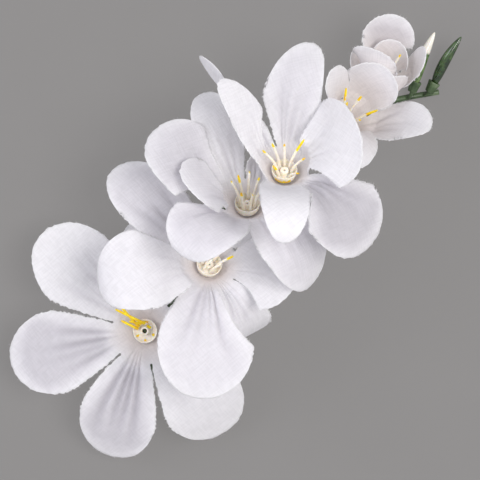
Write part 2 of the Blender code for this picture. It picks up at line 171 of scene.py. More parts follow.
class Bud(NamedTuple):
    """A closed bud: where its sleeve starts, and where it points."""

    name: str
    foot: tuple
    turn: float
    peg_foot: tuple
    bright: float  # share of its length that is cream, from the tip
    tone: float  # how light its green is at the foot


print("A lobe is", Lobe(0, 0, 0, 10).length, "mm long unless told otherwise")

# %% The six blooms and two buds
BLOOMS = (
    Bloom("1", throat=(-39.3, -5.3, 14), lean_turn=98, lean=5, ring=20, slit=8, peg_foot=(-46, -14.2), lobes=(
        Lobe(95, mid=4, tip=-8, half=11.4, crease=0.8),
        Lobe(151, mid=-4, tip=-26, half=11.4, crease=1.3, grey=0.9),
        Lobe(210, mid=-24, tip=-50, half=10.6, crease=1.3, grey=0.8),
        Lobe(267, mid=-38, tip=-52, half=11.4, crease=0.5, grey=0.15),
        Lobe(330, mid=-49, tip=-80, half=9.6, length=32.5, widest=0.5),
        Lobe(40, mid=-34, tip=-62, half=11, side=4, widest=0.5),
    ), dabs=(169, -66, 228, 34, 50, 66, 82, 98), filaments=(
        Filament(103, 90, 76, 8.5, 0.9), Filament(26, 112, 62, 10.5, 0.8), Filament(121, 112, 70, 5.5, 0.9),
        Filament(60, 126, 48, 5, 0.7), Filament(-20, 100, 30, 2.5, 0.6),
    )),
    Bloom("2", throat=(-15.1, -3.9, 22), lean_turn=30, lean=24, ring=50, slit=34, peg_foot=(-19, 0.8), lobes=(
        Lobe(156, mid=42, tip=-75, half=11.5, length=31.5, lift=1.5, crease=0.3, grey=0.1),
        Lobe(226, mid=-20, tip=-45, half=12.8, length=38, lift=0.5, crease=1.2, grey=0.45),
        Lobe(260, mid=-95, tip=-120, half=8.5, lift=-0.5),
        Lobe(309, mid=22, tip=14, half=12, length=23.5, widest=0.62, crease=0.3),
        Lobe(33, mid=20, tip=0, half=11.5, length=14, lift=-0.8, widest=0.6),
        Lobe(96, mid=4, tip=-22, half=9, length=36, lift=0.1, crease=0.9, grey=0.55),
    ), dabs=(), filaments=(
        Filament(10, -5, 42, 8.5, 0.35), Filament(-50, -22, 40, 7, 0.3), Filament(65, 10, 30, 7.5, 0),
        Filament(120, 10, 24, 6.5, 0), Filament(180, -10, 20, 6, 0), Filament(240, -30, 24, 6, 0),
    )),
    Bloom("3", throat=(3.2, 0.7, 26), lean_turn=46, lean=38, ring=55, slit=45, peg_foot=(-3, 5.4), lobes=(
        Lobe(127, mid=60, tip=-10, half=12.2, length=32, lift=0.3, crease=0.9, grey=0.7),
        Lobe(156, mid=66, tip=22, half=9, length=23, lift=2.6, crease=0.6, grey=0.3),
        Lobe(198, mid=57, tip=-84, half=10.3, length=32, crease=0.6, grey=0.7),
        Lobe(273, mid=-58, tip=-80, half=9.8, length=33.8, lift=-0.4, side=8, widest=0.52, crease=0.8, grey=0.5),
        Lobe(79, mid=49, tip=-11, half=6.8, length=33.5, lift=-1.4),
        Lobe(38, mid=60, tip=62, half=3, length=19.5, twist=75, side=20),
    ), dabs=(), filaments=(
        Filament(146, 138, 14, 11, 0.05), Filament(100, 130, 7, 11.5, 0.3), Filament(48, 48, 3, 12, 0.05),
        Filament(0, -42, 7, 11.5, 0.12), Filament(-48, -42, 14, 10.5, 0.05), Filament(200, 170, 6, 8.5, 0.2),
        Filament(-104, -70, 5, 8, 0.05),
    )),
    Bloom("4", throat=(16.2, 0.65, 31), lean_turn=43, lean=38, ring=55, slit=48, peg_foot=(9, 6.4), lobes=(
        Lobe(51, mid=53, tip=5, half=7.8, length=35.5, side=-36, widest=0.5, point=0.2, crease=0.8, grey=0.45),
        Lobe(108, mid=76, tip=18, half=5.4, length=30, lift=0.8, widest=0.55, point=0.4, crease=0.5),
        Lobe(92, mid=15, tip=0, half=4.2, length=38, lift=-1.2, twist=84, point=1),
        Lobe(231, mid=64, tip=-70, half=6.6, length=37, side=4, crease=0.2),
        Lobe(277, mid=-29, tip=-69, half=11.7, lift=-0.6, grey=1),
        Lobe(328, mid=40, tip=56, half=13.6, length=26.2, lift=3.0, widest=0.58, twist=14, crease=0.3),
    ), dabs=(195, 215, 235, 255), filaments=(
        Filament(140, 138, 26, 10, 0.15), Filament(98, 130, 14, 10.5, 0.15), Filament(54, 90, 5, 9.5, 0.12),
        Filament(186, 150, 20, 5.5, 0.4), Filament(8, -14, 17, 12, 0.4), Filament(-36, -48, 22, 8.5, 0.15),
        Filament(-80, -70, 34, 5, 0.2),
    )),
    Bloom("5", throat=(36.4, 0.5, 21), lean_turn=8, lean=45, ring=60, slit=70, peg_foot=(29, 4.8), lobes=(
        Lobe(110, mid=62, tip=50, half=5.3, length=19, lift=1.0, wrap=0.3, point=1, twist=-25, crease=0.3),
        Lobe(20, mid=114, tip=90, half=9, length=22.2, lift=-1.2, wrap=0.5, crease=0.2, grey=0.1),
        Lobe(-63, mid=60, tip=2, half=7.2, length=26, lift=-1.3, point=0.3, side=6, crease=0.8, grey=0.3),
        Lobe(-140, mid=14, tip=-60, half=5.4, length=23, lift=0.7, crease=0.6, grey=0.2),
        Lobe(155, mid=58, tip=50, half=1.8, length=12, lift=-0.4),
        Lobe(190, mid=40, tip=0, half=1.8, length=12, lift=-1),
    ), dabs=(), filaments=(
        Filament(96, 84, 20, 11, 0.4), Filament(150, 130, 10, 10, 0.15), Filament(36, 20, 5, 10.5, 0.2),
        Filament(-50, -74, 15, 12, 0.4), Filament(-120, -100, 12, 8, 0.1),
    )),
    Bloom("6", throat=(51.3, 0.8, 13), lean_turn=34, lean=46, ring=60, slit=70, peg_foot=(46, -1.0), lobes=(
        Lobe(50, mid=98, tip=70, half=7.5, length=21, lift=-1.4, wrap=0.3, grey=1.1),
        Lobe(30, mid=96, tip=94, half=6, length=15, lift=0.5, wrap=1, crease=0.3),
        Lobe(-34, mid=84, tip=80, half=5, length=17.8, lift=-1.6, wrap=0.3, point=1, twist=5, crease=0.3),
        Lobe(124, mid=70, tip=72, half=4.8, length=11.5, lift=-2.4, wrap=0.6),
        Lobe(182, mid=92, tip=84, half=7.6, length=18.6, lift=1.2, wrap=0.4, twist=30, crease=0.3),
        Lobe(-106, mid=88, tip=84, half=4.4, length=14, lift=-0.9, wrap=1),
    ), dabs=(), filaments=(
        Filament(0, -22, 10, 12, 0.1), Filament(90, 90, 4, 9), Filament(180, 180, 4, 8), Filament(270, 270, 4, 7),
    )),
)

BUDS = (
    Bud("1", foot=(59.1, -5.4, 3.2), turn=27.6, peg_foot=(57.2, -6.0), bright=0.42, tone=0.3),
    Bud("2", foot=(62.6, -8.6, 3.2), turn=18.3, peg_foot=(61.3, -8.5), bright=0.0, tone=-0.05),
)
print(len(BLOOMS), "blooms with", sum(len(bloom.lobes) for bloom in BLOOMS), "lobes, and", len(BUDS), "buds")

# %% [markdown]
# ## From a flat pattern to a folded petal
# A real petal starts flat and is bent over a hot tool, so its width and length hardly change. The same is
# done here. A point of the flat pattern is given by u, across the lobe, and v, along it. The lobe's centre
# line is a curve that climbs at the elevations in the table, and each point is carried to its place beside
# that line. Near the throat the sheet still follows the round ring, and further out it flattens.

# %% Sizes of the cut sheet, as in the solid model
HOLE_RADIUS = 1.6
THROAT_RADIUS = 3.2
RING_LENGTH = 6.0
HALF_SLIT = 0.05
WIDEST_SECTOR = 40.0  # half of the widest sector that one lobe takes from the ring
SECTOR_TAPER = 0.98
TIP_ARC = 76.0
FLATTEN_LENGTH = 10.0  # a lobe loses the ring's roundness over this length
CENTRELINE_STEPS = 160
SPRAY_MIDDLE = np.array([2.58, -0.65, 0.0])  # the laid spray's middle, which is the origin
print("A sheet is", 2 * (THROAT_RADIUS + 36), "mm across before it is bent")

# %% Directions of a bloom
def smooth(x):
    """Ease from 0 to 1."""
    x = np.clip(x, 0, 1)
    return x * x * (3 - 2 * x)


def unit(vectors):
    """The same directions with a length of 1."""
    return vectors / np.maximum(np.linalg.norm(vectors, axis=-1, keepdims=True), 1e-9)


def bloom_frame(bloom):
    """The bloom's axis, and the two directions across it that turns are measured in."""
    lean, turn = radians(bloom.lean), radians(bloom.lean_turn)
    axis = np.array([sin(lean) * cos(turn), sin(lean) * sin(turn), cos(lean)])
    across = unit(np.array([1.0, 0.0, 0.0]) - axis * axis[0])
    return axis, across, np.cross(axis, across)


def outward(bloom, degrees):
    """Directions away from the bloom's axis at the given turns."""
    _, across, beside = bloom_frame(bloom)
    turn = np.radians(degrees)
    return np.multiply.outer(np.cos(turn), across) + np.multiply.outer(np.sin(turn), beside)


print("Bloom 4 leans along", np.round(bloom_frame(BLOOMS[3])[0], 2))

# %% [markdown]
# ## Pressed creases, ruffles and the cut edge
# The fabric is pressed in a mould that leaves long shallow valleys. They fan out from the throat and fade
# before the edge. The edge itself waves a little, and the knife leaves it slightly uneven. All of this moves
# the sheet by tenths of a millimetre, so it is real geometry and not only a painted effect.

# %% The relief of a pressed petal
CREASE_DEPTH, CREASE_WIDTH = 0.8, 1.05  # the pressed valleys
RUFFLE_HEIGHT, RUFFLE_LENGTH, RIM_WIDTH = 0.55, 11.0, 5.0  # waves of the edge
SWAY_HEIGHT, SWAY_LENGTH = 0.5, 17.0  # long waves of the whole lobe
KNIFE_WANDER, KNIFE_STEP = 0.38, 0.6  # unevenness of the cut
VALLEY_PAINTED_SHADE, SHEER_PAINTED_SHADE = 0.34, 0.55  # painted shade: how much greyer a valley and a sheer lobe are painted
PALE_RIM = 4.5  # width of the rim that the painted shade of a sheer lobe leaves white


def crease_lines(seed):
    """Where across each valley of a lobe runs, how it bends, how strong it is and how far it reaches."""
    dice = random.Random(seed)
    count = dice.choice((3, 3, 4, 4))
    return [((i + 0.5) / count * 1.5 - 0.75 + dice.uniform(-0.08, 0.08), dice.uniform(-0.22, 0.22),
             dice.uniform(0.4, 1.0), dice.uniform(0.65, 1.1)) for i in range(count)]


def crease_relief(q, t, half, seed):
    """Depth of the pressed valleys, 0 to 1; q goes -1 to 1 across and t goes 0 to 1 along."""
    depth = np.zeros(np.broadcast(q, t).shape)
    for place, bend, strength, reach in crease_lines(seed):
        fade = smooth((t + 0.18) / 0.3) * (1 - smooth((t - 0.4 * reach) / (0.6 * reach)))
        line = place * (0.7 + 0.3 * t) + bend * (t ** 2 - 0.3 * t)
        distance = (q - line) * half / (CREASE_WIDTH * (0.45 + 1.1 * t))
        depth = np.maximum(depth, strength * fade * np.exp(-distance ** 2))
    return depth


def painted_shade(t, crease, edge, grey):
    """Painted shade, 0 to 1: in the valleys, and all over a sheer lobe for the darker table seen through it, but
    not at its rim.
    """
    return VALLEY_PAINTED_SHADE * crease + SHEER_PAINTED_SHADE * grey * smooth(t / 0.2) * (0.15 + 0.85 * smooth(edge / PALE_RIM))


def wavy(places, scale, seed):
    """Smooth noise from -1 to 1 at points in mm."""
    offset = Vector((seed * 7.3, seed * 3.1, seed * 1.7))
    flat = np.asarray(places).reshape(-1, 3)
    values = [noise.noise(Vector(point) / scale + offset) for point in flat]
    return np.array(values).reshape(np.asarray(places).shape[:-1])


print("The deepest crease is", CREASE_DEPTH, "mm")

# %% The folded lobe
class FoldedLobe:
    """A lobe's flat pattern, u across and v along from the throat, and the way it is folded in space."""

    def __init__(self, bloom, lobe, sectors, number):
        self.lobe, self.sectors = lobe, sectors
        self.seed = 10 * int(bloom.name) + number
        axis = bloom_frame(bloom)[0]
        self.v = np.linspace(0, lobe.length, CENTRELINE_STEPS)
        t = np.clip((self.v - RING_LENGTH) / (lobe.length - RING_LENGTH), 0, 1)
        ring = bloom.ring + (bloom.slit - bloom.ring) * np.clip(self.v / RING_LENGTH, 0, 1)
        free = (1 - t) ** 2 * bloom.slit + 2 * t * (1 - t) * lobe.mid + t ** 2 * lobe.tip
        rise = np.radians(np.where(self.v < RING_LENGTH, ring, free))[:, None]
        self.out = outward(bloom, lobe.turn + lobe.side * t ** 1.5)
        along = np.cos(rise) * self.out + np.sin(rise) * axis
        steps = (along[1:] + along[:-1]) / 2 * self.v[1]
        start = np.array(bloom.throat) + THROAT_RADIUS * self.out[0]
        self.line = np.vstack([start, start + np.cumsum(steps, axis=0)])
        width = np.cross(axis, self.out)
        inner = np.cross(along, width)
        twist = np.radians(lobe.twist) * smooth(1.2 * t)[:, None]
        self.width = np.cos(twist) * width + np.sin(twist) * inner
        self.inner = np.cos(twist) * inner - np.sin(twist) * width
        arm = self.line - np.array(bloom.throat)
        self.radius = np.linalg.norm(arm - np.outer(arm @ axis, axis), axis=1)

    def at(self, values, v):
        """Values along the centreline, read at v."""
        return np.stack([np.interp(v, self.v, column) for column in values.T], axis=-1)

    def radius_at(self, v):
        """The centreline's distance from the bloom's axis at v."""
        return np.interp(v, self.v, self.radius)

    def fold(self, u, v):
        """Points in space of the flat pattern's points."""
        lobe = self.lobe
        radius = self.radius_at(v)
        flat = smooth((v - RING_LENGTH) / FLATTEN_LENGTH) * (1 - lobe.wrap)
        round_turn = np.clip(u / np.maximum(radius, THROAT_RADIUS), -1.5, 1.5)
        across = (1 - flat) * radius * np.sin(round_turn) + flat * u
        sink = (1 - flat) * radius * (1 - np.cos(round_turn))
        lift = lobe.lift * smooth((v - 0.8 * RING_LENGTH) / 4)
        return (self.at(self.line, v) + self.at(self.width, v) * across[..., None]
                - self.at(self.out, v) * sink[..., None] + self.at(self.inner, v) * lift[..., None])

    def ring_half(self, sector):
        """Half of the lobe's width where its slits end."""
        return self.radius_at(RING_LENGTH) * radians(sector) - HALF_SLIT

    def half_width(self, sector, v):
        """Half of the width at v: along the slit first, then rounded off into the widest part."""
        lobe, start = self.lobe, self.ring_half(sector)
        free = lobe.widest * lobe.length - RING_LENGTH
        t = np.clip((v - RING_LENGTH) / free, 0, 1)
        slope = tan(radians(sector * SECTOR_TAPER))
        slit = start + t * free * slope
        swell = start + (lobe.half - start) * (1 - (1 - t) ** 2.6)

        def lesser(a, b):
            return (a ** -8 + b ** -8) ** (-1 / 8)

        return lesser(slit, swell) + (lobe.half - lesser(start + free * slope, lobe.half)) * t ** 3

    def pattern(self, rows, columns):
        """The flat pattern of the free part: u and v of a grid whose last row is the round tip."""
        lobe, arc = self.lobe, radians(TIP_ARC)
        widest = lobe.widest * lobe.length
        tip = lobe.length - widest
        q = np.linspace(-1, 1, columns + 1)
        t = np.linspace(0, 1, rows + 1)[:, None]
        v = RING_LENGTH + (widest + tip * cos(arc) - RING_LENGTH) * t
        halves = [self.half_width(sector, np.minimum(v, widest)) for sector in self.sectors]
        rest = 1 - np.clip((v - widest) / tip, 0, 1) ** 2
        beyond = lobe.half * ((1 - lobe.point) * np.sqrt(rest) + lobe.point * rest)
        half = np.where(v > widest, beyond, np.where(q > 0, halves[0], halves[1]))
        bow = arc * t ** 1.5 + 1e-3
        u = half * np.sin(q * bow) / np.sin(bow)
        crown = tip * (1 - cos(arc)) * t ** 2
        return u, v + crown * (np.cos(q * bow) - np.cos(bow)) / (1 - np.cos(bow))


def folded_lobes(bloom):
    """The bloom's lobes in order round its axis, each with its share of the ring."""
    lobes = sorted(bloom.lobes, key=lambda lobe: lobe.turn % 360)
    between = [(after.turn - lobe.turn) % 360 / 2 for lobe, after in zip(lobes, lobes[1:] + lobes[:1])]
    shares = [min(half, WIDEST_SECTOR) for half in between]
    return [FoldedLobe(bloom, lobe, (shares[i], shares[i - 1]), i) for i, lobe in enumerate(lobes)]


print("The fold keeps lengths: a lobe's pattern is bent, never stretched")

# %% Raising the relief along the sheet's own normal
LOBE_ROWS, LOBE_COLUMNS, RING_ROWS = 80, 36, 10
# Each point of a sheet has seven numbers: its place, its flat place, its painted shade and how near the edge.
PLACE, FLAT, PAINTED_SHADE, EDGE = slice(0, 3), slice(3, 5), 5, 6


def raised(points, height, *others):
    """A grid of points moved by their height towards the bloom's inside, with their other numbers beside them."""
    normals = unit(np.cross(np.gradient(points, axis=0), np.gradient(points, axis=1)))
    return np.dstack([points + normals * height[..., None], *others])


def sheet_place(lobe, u, v):
    """Where a lobe's flat point lies on the whole sheet, which is round its hole."""
    turn, reach = radians(lobe.lobe.turn), THROAT_RADIUS + v
    return reach * cos(turn) - u * sin(turn), reach * sin(turn) + u * cos(turn)


def pressed_grid(lobe):
    """The free part of a lobe, with its creases, ruffles and uneven cut."""
    u, v = lobe.pattern(LOBE_ROWS, LOBE_COLUMNS)
    q = np.broadcast_to(np.linspace(-1, 1, LOBE_COLUMNS + 1), u.shape)
    t = np.broadcast_to(np.linspace(0, 1, LOBE_ROWS + 1)[:, None], u.shape)
    half = np.abs(u).max(axis=1, keepdims=True)
    edge = np.minimum((1 - np.abs(q)) * half, (1 - t) * (lobe.lobe.length - RING_LENGTH))
    flat = np.stack([u, v, np.full_like(u, 5.0 * lobe.seed)], axis=-1)
    cut = KNIFE_WANDER * wavy(flat, KNIFE_STEP, lobe.seed) * (edge < 0.01) * smooth(t / 0.15)
    u = u + cut * np.sign(q) * (np.abs(q) > 0.999)
    v = v + cut * (t > 0.999)
    crease = lobe.lobe.crease * crease_relief(q, t, half, lobe.seed)
    ruffle = smooth(1 - edge / RIM_WIDTH) * wavy(flat, RUFFLE_LENGTH, lobe.seed + 9)
    sway = wavy(flat, SWAY_LENGTH, lobe.seed + 4)
    height = smooth(t / 0.5) * (RUFFLE_HEIGHT * ruffle + SWAY_HEIGHT * sway) - CREASE_DEPTH * crease
    grey = painted_shade(t, crease, edge, lobe.lobe.grey)
    return raised(lobe.fold(u, v), height, *sheet_place(lobe, u, v), grey, edge)


print("The knife wanders by up to", KNIFE_WANDER, "mm")

# %% [markdown]
# ## One mesh for each corolla
# The ring and its six lobes are one sheet, so they are one mesh. The flat place of every point is kept as a
# UV map in metres, because the threads of the cloth run straight across the whole flat sheet, whichever way
# a lobe turns. Three values are kept on the points too: how much painted shade greys the cloth, how near the
# cut edge is, which gets a painted highlight, and how far from the middle of the sheet a warm tint reaches.

# %% The ring between the hole and the slits
def ring_grid(lobes):
    """The rows of points round the ring, each lobe's columns in turn."""
    v = np.linspace(0, RING_LENGTH, RING_ROWS + 1)[:, None]
    q = np.linspace(-1, 1, LOBE_COLUMNS + 1)
    parts = []
    for lobe in lobes:
        halves = np.where(q > 0, *map(lobe.ring_half, lobe.sectors))
        u = q * halves * lobe.radius_at(v) / lobe.radius_at(RING_LENGTH)
        t = (v - RING_LENGTH) / (lobe.lobe.length - RING_LENGTH)
        crease = lobe.lobe.crease * crease_relief(q, t, np.abs(u).max(axis=1, keepdims=True), lobe.seed)
        grey, edge = painted_shade(t, crease, RIM_WIDTH, 0), np.full_like(u, RIM_WIDTH)
        along = np.broadcast_to(v, u.shape)
        parts.append(np.dstack([lobe.fold(u, along), *sheet_place(lobe, u, along), grey, edge, crease]))
    grid = np.hstack(parts)
    return raised(grid[..., PLACE], -CREASE_DEPTH * grid[..., -1], grid[..., FLAT.start:-1])


def quads(rows):
    """Faces between rows of vertex numbers."""
    return [corners for lower, upper in zip(rows, rows[1:])
            for corners in zip(lower, lower[1:], upper[1:], upper)]


print("The ring has", RING_ROWS + 1, "rows of points")

# %% The sheet of one bloom
def corolla_sheet(bloom):
    """The points of a corolla's middle surface, and its faces."""
    lobes = folded_lobes(bloom)
    ring = ring_grid(lobes)
    hole, shrink = ring[:1].copy(), HOLE_RADIUS / THROAT_RADIUS
    hole[..., PLACE] = bloom.throat + (hole[..., PLACE] - bloom.throat) * shrink
    hole[..., FLAT] *= shrink
    points = np.vstack([hole, ring]).reshape(-1, ring.shape[-1])
    loops = np.arange(len(points)).reshape(RING_ROWS + 2, -1)
    faces = quads(np.hstack([loops, loops[:, :1]]))
    for lobe, root in zip(lobes, np.split(loops[-1], len(lobes))):
        grid = pressed_grid(lobe)[1:]
        fresh = len(points) + np.arange(grid[..., 0].size).reshape(LOBE_ROWS, -1)
        faces += quads(np.vstack([root, fresh]))
        points = np.vstack([points, grid.reshape(-1, grid.shape[-1])])
    return points, faces


print("Bloom 1's sheet has", len(corolla_sheet(BLOOMS[0])[1]), "faces")

# %% Making a mesh with its map and values
def mesh_object(name, points, faces=(), edges=()):
    """An object at the origin whose mesh is in metres; points are in mm on the laid spray."""
    mesh = bpy.data.meshes.new(name)
    places = (np.asarray(points, dtype=float) - SPRAY_MIDDLE) * MM
    mesh.from_pydata([tuple(place) for place in places], list(edges), [tuple(map(int, face)) for face in faces])
    obj = bpy.data.objects.new(name, mesh)
    bpy.context.collection.objects.link(obj)
    return obj


def keep_value(obj, name, values):
    """A value on every point, for the material to read."""
    layer = obj.data.attributes.new(name, "FLOAT", "POINT")
    layer.data.foreach_set("value", np.asarray(values, dtype=np.float32))


def keep_map(obj, name, places):
    """A UV map in metres from places in mm."""
    layer = obj.data.uv_layers.new(name=name)
    corners = np.empty(len(obj.data.loops), dtype=np.int32)
    obj.data.loops.foreach_get("vertex_index", corners)
    layer.data.foreach_set("uv", (np.asarray(places) * MM)[corners].astype(np.float32).ravel())


print("Points are given in mm, and meshes are kept in metres")

# %% Finishing a mesh
def bake(obj):
    """The object with its modifiers turned into plain mesh."""
    bpy.context.view_layer.update()
    mesh = bpy.data.meshes.new_from_object(obj.evaluated_get(bpy.context.evaluated_depsgraph_get()))
    obj.modifiers.clear()
    obj.data = mesh
    return obj


def join(obj, other):
    """Moves the other object's mesh into this one."""
    with bpy.context.temp_override(active_object=obj, selected_editable_objects=[obj, other]):
        bpy.ops.object.join()


def face_out(obj):
    """Turns the faces of closed forms outwards."""
    body = bmesh.new()
    body.from_mesh(obj.data)
    bmesh.ops.recalc_face_normals(body, faces=body.faces)
    body.to_mesh(obj.data)
    body.free()


def dress(obj, material, node):
    """Finishes a piece that shows one node of the solid model."""
    obj.data.shade_smooth()
    obj.data.materials.clear()
    obj.data.materials.append(material)
    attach(obj, "root")
    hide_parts(node)
    return obj


print("Every piece rides on the spray's one body")

# %% [markdown]
# ## Heat-pressed polyester
# The petals are a plain polyester weave, stiffened and pressed hot. It is matt and very white, and thin
# enough that light passes through where one petal lies over another. The weave is two noises, each drawn
# out nine times as long one way as the other: warp and weft, thick and thin as threads are.

# %% The fabric's material
THREADS = 2400.0  # thick and thin places in each metre, coarser than real threads so that they show
DRAWN_OUT = 9  # how many times longer than wide they are
THREAD_HEIGHT = 0.14
LIGHT_THROUGH = 0.5
THROAT_REACH = 3.5  # how far from the middle of the sheet its warm tint is full
RIM_HIGHLIGHT = 0.45  # width of the cut edge that is painted white as a highlight


def petal_fabric(tree):
    """Matt white weave that lets some light through; painted shade greys its valleys and sheer lobes, its cut edge
    is painted white as a highlight, and it is warmer near the throat.
    """
    place = add(tree, "ShaderNodeUVMap", uv_map="sheet")
    threads = []
    for across, along in ((THREADS, THREADS / DRAWN_OUT), (THREADS / DRAWN_OUT, THREADS)):
        drawn = add(tree, "ShaderNodeMapping", {"Vector": place, "Scale": (across, along, 1.0)})
        threads.append(add(tree, "ShaderNodeTexNoise", {"Vector": drawn, "Scale": 1.0, "Detail": 1.0}))
    cloth = add(tree, "ShaderNodeMath", {0: threads[0], 1: threads[1]}, operation="ADD")
    grey, edge, warm_reach = [add(tree, "ShaderNodeAttribute", attribute_name=name).outputs["Fac"]
                              for name in ("painted_shade", "edge", "warm_reach")]
    # Painted shade: the value turns the white into these greys in the valleys and on sheer lobes.
    tint = add(tree, "ShaderNodeValToRGB", {"Fac": grey},
               stops=((0.0, "#FCFBFD"), (0.27, "#EEECF0"), (0.67, "#CFCCD2"), (1.0, "#AFABB2")))
    # Warmer near the throat; on the half-open blooms the tint spreads over the whole cup as painted warm light.
    reach = add(tree, "ShaderNodeVectorMath", {0: place}, operation="LENGTH").outputs["Value"]
    deep = add(tree, "ShaderNodeMapRange", {"Value": reach, "From Min": warm_reach, "From Max": THROAT_REACH * MM})
    warm = add(tree, "ShaderNodeMix", {0: deep, 6: tint, 7: "#F4E9E2"}, data_type="RGBA").outputs[2]
    # Painted highlight: the cut edge is painted pure white.
    inside = add(tree, "ShaderNodeMapRange", {"Value": edge, "From Min": 0.0, "From Max": RIM_HIGHLIGHT})
    bright = add(tree, "ShaderNodeMix", {0: inside, 6: "#FFFFFF", 7: warm}, data_type="RGBA").outputs[2]
    weave = add(tree, "ShaderNodeMapRange", {"Value": cloth, "From Min": 0.8, "From Max": 1.2, "To Min": 0.88,
                                             "To Max": 1.0})
    colour = add(tree, "ShaderNodeVectorMath", {0: bright, 1: weave}, operation="MULTIPLY")
    relief = add(tree, "ShaderNodeBump", {"Height": cloth, "Strength": 0.9, "Distance": THREAD_HEIGHT * MM})
    surface = add(tree, "ShaderNodeBsdfPrincipled", {
        "Base Color": colour, "Roughness": 0.85, "Sheen Weight": 0.15, "Specular IOR Level": 0.25,
        "Normal": relief})
    through = add(tree, "ShaderNodeBsdfTranslucent", {"Color": "#FBFAFC"})
    return add(tree, "ShaderNodeMixShader", {0: LIGHT_THROUGH, 1: surface, 2: through})


FABRIC = make_material("heat_pressed_polyester", petal_fabric)

# %% Cutting, pressing and thickening the six corollas
FABRIC_THICKNESS = 0.24
HALF_OPEN = ("5", "6")  # blooms whose whole cups get the warm tint, as painted warm light inside them
OPEN_REACH, HALF_OPEN_REACH = 11, 24  # how far from the middle of the sheet its warm tint ends


def make_corolla(bloom):
    """One corolla: a sheet with a wall."""
    points, faces = corolla_sheet(bloom)
    obj = mesh_object("petals_" + bloom.name, points[:, PLACE], faces)
    keep_map(obj, "sheet", points[:, FLAT])
    keep_value(obj, "painted_shade", points[:, PAINTED_SHADE])
    keep_value(obj, "edge", points[:, EDGE])
    warm_reach = HALF_OPEN_REACH if bloom.name in HALF_OPEN else OPEN_REACH
    keep_value(obj, "warm_reach", np.full(len(points), warm_reach * MM))
    wall = obj.modifiers.new("Wall", "SOLIDIFY")
    wall.thickness = FABRIC_THICKNESS * MM
    wall.offset = 0
    return dress(bake(obj), FABRIC, "corolla_" + bloom.name)


COROLLAS = [make_corolla(bloom) for bloom in BLOOMS]
print("Triangles in each:", [sum(len(face.vertices) - 2 for face in obj.data.polygons) for obj in COROLLAS])

# %% [markdown]
# ## Moulded green plastic
# The stem, its pegs and the calyxes are soft polyethylene. It is half glossy, and a little light goes into
# it, so thin parts look warmer. The green is never quite even, and the two halves of the mould leave a fine
# raised line along each side of the stem.

# %% The stem's material
STEM_CLOUDS, STEM_GRAINS = 260.0, 1400.0  # in each metre, so about 4 mm and 0.7 mm wide


def stem_plastic(tree):
    """Half-glossy green polyethylene with uneven colour and a faint grain."""
    place = add(tree, "ShaderNodeTexCoord").outputs["Object"]
    clouds = add(tree, "ShaderNodeTexNoise", {"Vector": place, "Scale": STEM_CLOUDS, "Detail": 4.0})
    colour = add(tree, "ShaderNodeValToRGB", {"Fac": clouds},
                 stops=((0.3, "#2C3F24"), (0.55, "#4C5F40"), (0.8, "#879678")))
    grain = add(tree, "ShaderNodeTexNoise", {"Vector": place, "Scale": STEM_GRAINS})
    relief = add(tree, "ShaderNodeBump", {"Height": grain, "Strength": 0.25, "Distance": 0.05 * MM})
    return add(tree, "ShaderNodeBsdfPrincipled", {
        "Base Color": colour, "Roughness": 0.38, "Subsurface Weight": 0.12, "Subsurface Scale": 0.4 * MM,
        "Subsurface Radius": (0.6, 1.0, 0.4), "Normal": relief})


GREEN = make_material("moulded_green_polyethylene", stem_plastic)

# %% [markdown]
# ## The stem and its pegs
# The stem is a tapering wire of plastic that lies on the table, and every bloom stands on a peg that grows
# out of it. Tubes are laid along the same routes as in the solid model. A voxel remesh then melts them into
# one skin, with the small rounded webs that moulding leaves where a peg meets the stem.

# %% Sizes and routes of the moulded stem
STEM_ROUTE = ((-58, -23), (-39, -9.5), (-15, 2.5), (14, 6.3), (38, 2.5), (53.7, -3.7), (64.9, -10.4))
CUT_END_RADIUS, THIN_END_RADIUS = 1.25, 0.7
PEG_RADIUS, PEG_TIP_RADIUS, PEG_TIP_HEIGHT = 0.95, 0.45, 2.4
CALYX_LENGTH = 8.0
SLEEVE_LENGTH, BUD_PEG_RADIUS, BUD_TILT, BUD_LENGTH = 3.2, 0.55, 14.0, 17.8


def bezier(start, leave, arrive, end, steps):
    """Points along a Bezier curve."""
    curve = interpolate_bezier(*map(Vector, (start, leave, arrive, end)), steps)
    return np.array([list(point) for point in curve])


def smooth_route(route, steps):
    """A smooth curve through the route's points."""
    route = np.asarray(route, dtype=float)
    slope = np.gradient(route, axis=0)
    parts = [bezier(start, start + leave / 3, end - arrive / 3, end, steps + 1)[:-1]
             for start, end, leave, arrive in zip(route, route[1:], slope, slope[1:])]
    return np.vstack([*parts, route[-1]])


def stem_line(steps=16):
    """The stem's centre line as it lies on the table, and its radii."""
    flat = smooth_route([(x, y, 0) for x, y in STEM_ROUTE], steps)
    radii = np.linspace(CUT_END_RADIUS, THIN_END_RADIUS, len(flat))
    return flat + np.outer(radii, UP), radii


print("The stem is", round(float(np.linalg.norm(np.diff(stem_line()[0], axis=0), axis=1).sum())), "mm long")

# %% Routes of the pegs
def bloom_peg(bloom):
    """A peg's centre line up to its thin tip, and its radii."""
    axis = bloom_frame(bloom)[0]
    throat = np.array(bloom.throat)
    straight = throat - (CALYX_LENGTH + 1) * axis
    foot = np.array([*bloom.peg_foot, CUT_END_RADIUS])
    reach = np.linalg.norm(straight - foot)
    lean = (straight - foot) * (0.25, 0.25, 0.4)
    bend = bezier(foot, foot + lean, straight - 0.35 * reach * axis, straight, 20)
    heights = (-4, -0.5, -0.3, 0, PEG_TIP_HEIGHT - 0.1, PEG_TIP_HEIGHT)
    points = np.vstack([bend, [throat + height * axis for height in heights]])
    radii = [PEG_RADIUS] * (len(bend) + 2) + [0.8, PEG_TIP_RADIUS, PEG_TIP_RADIUS, PEG_TIP_RADIUS - 0.1]
    return points, radii


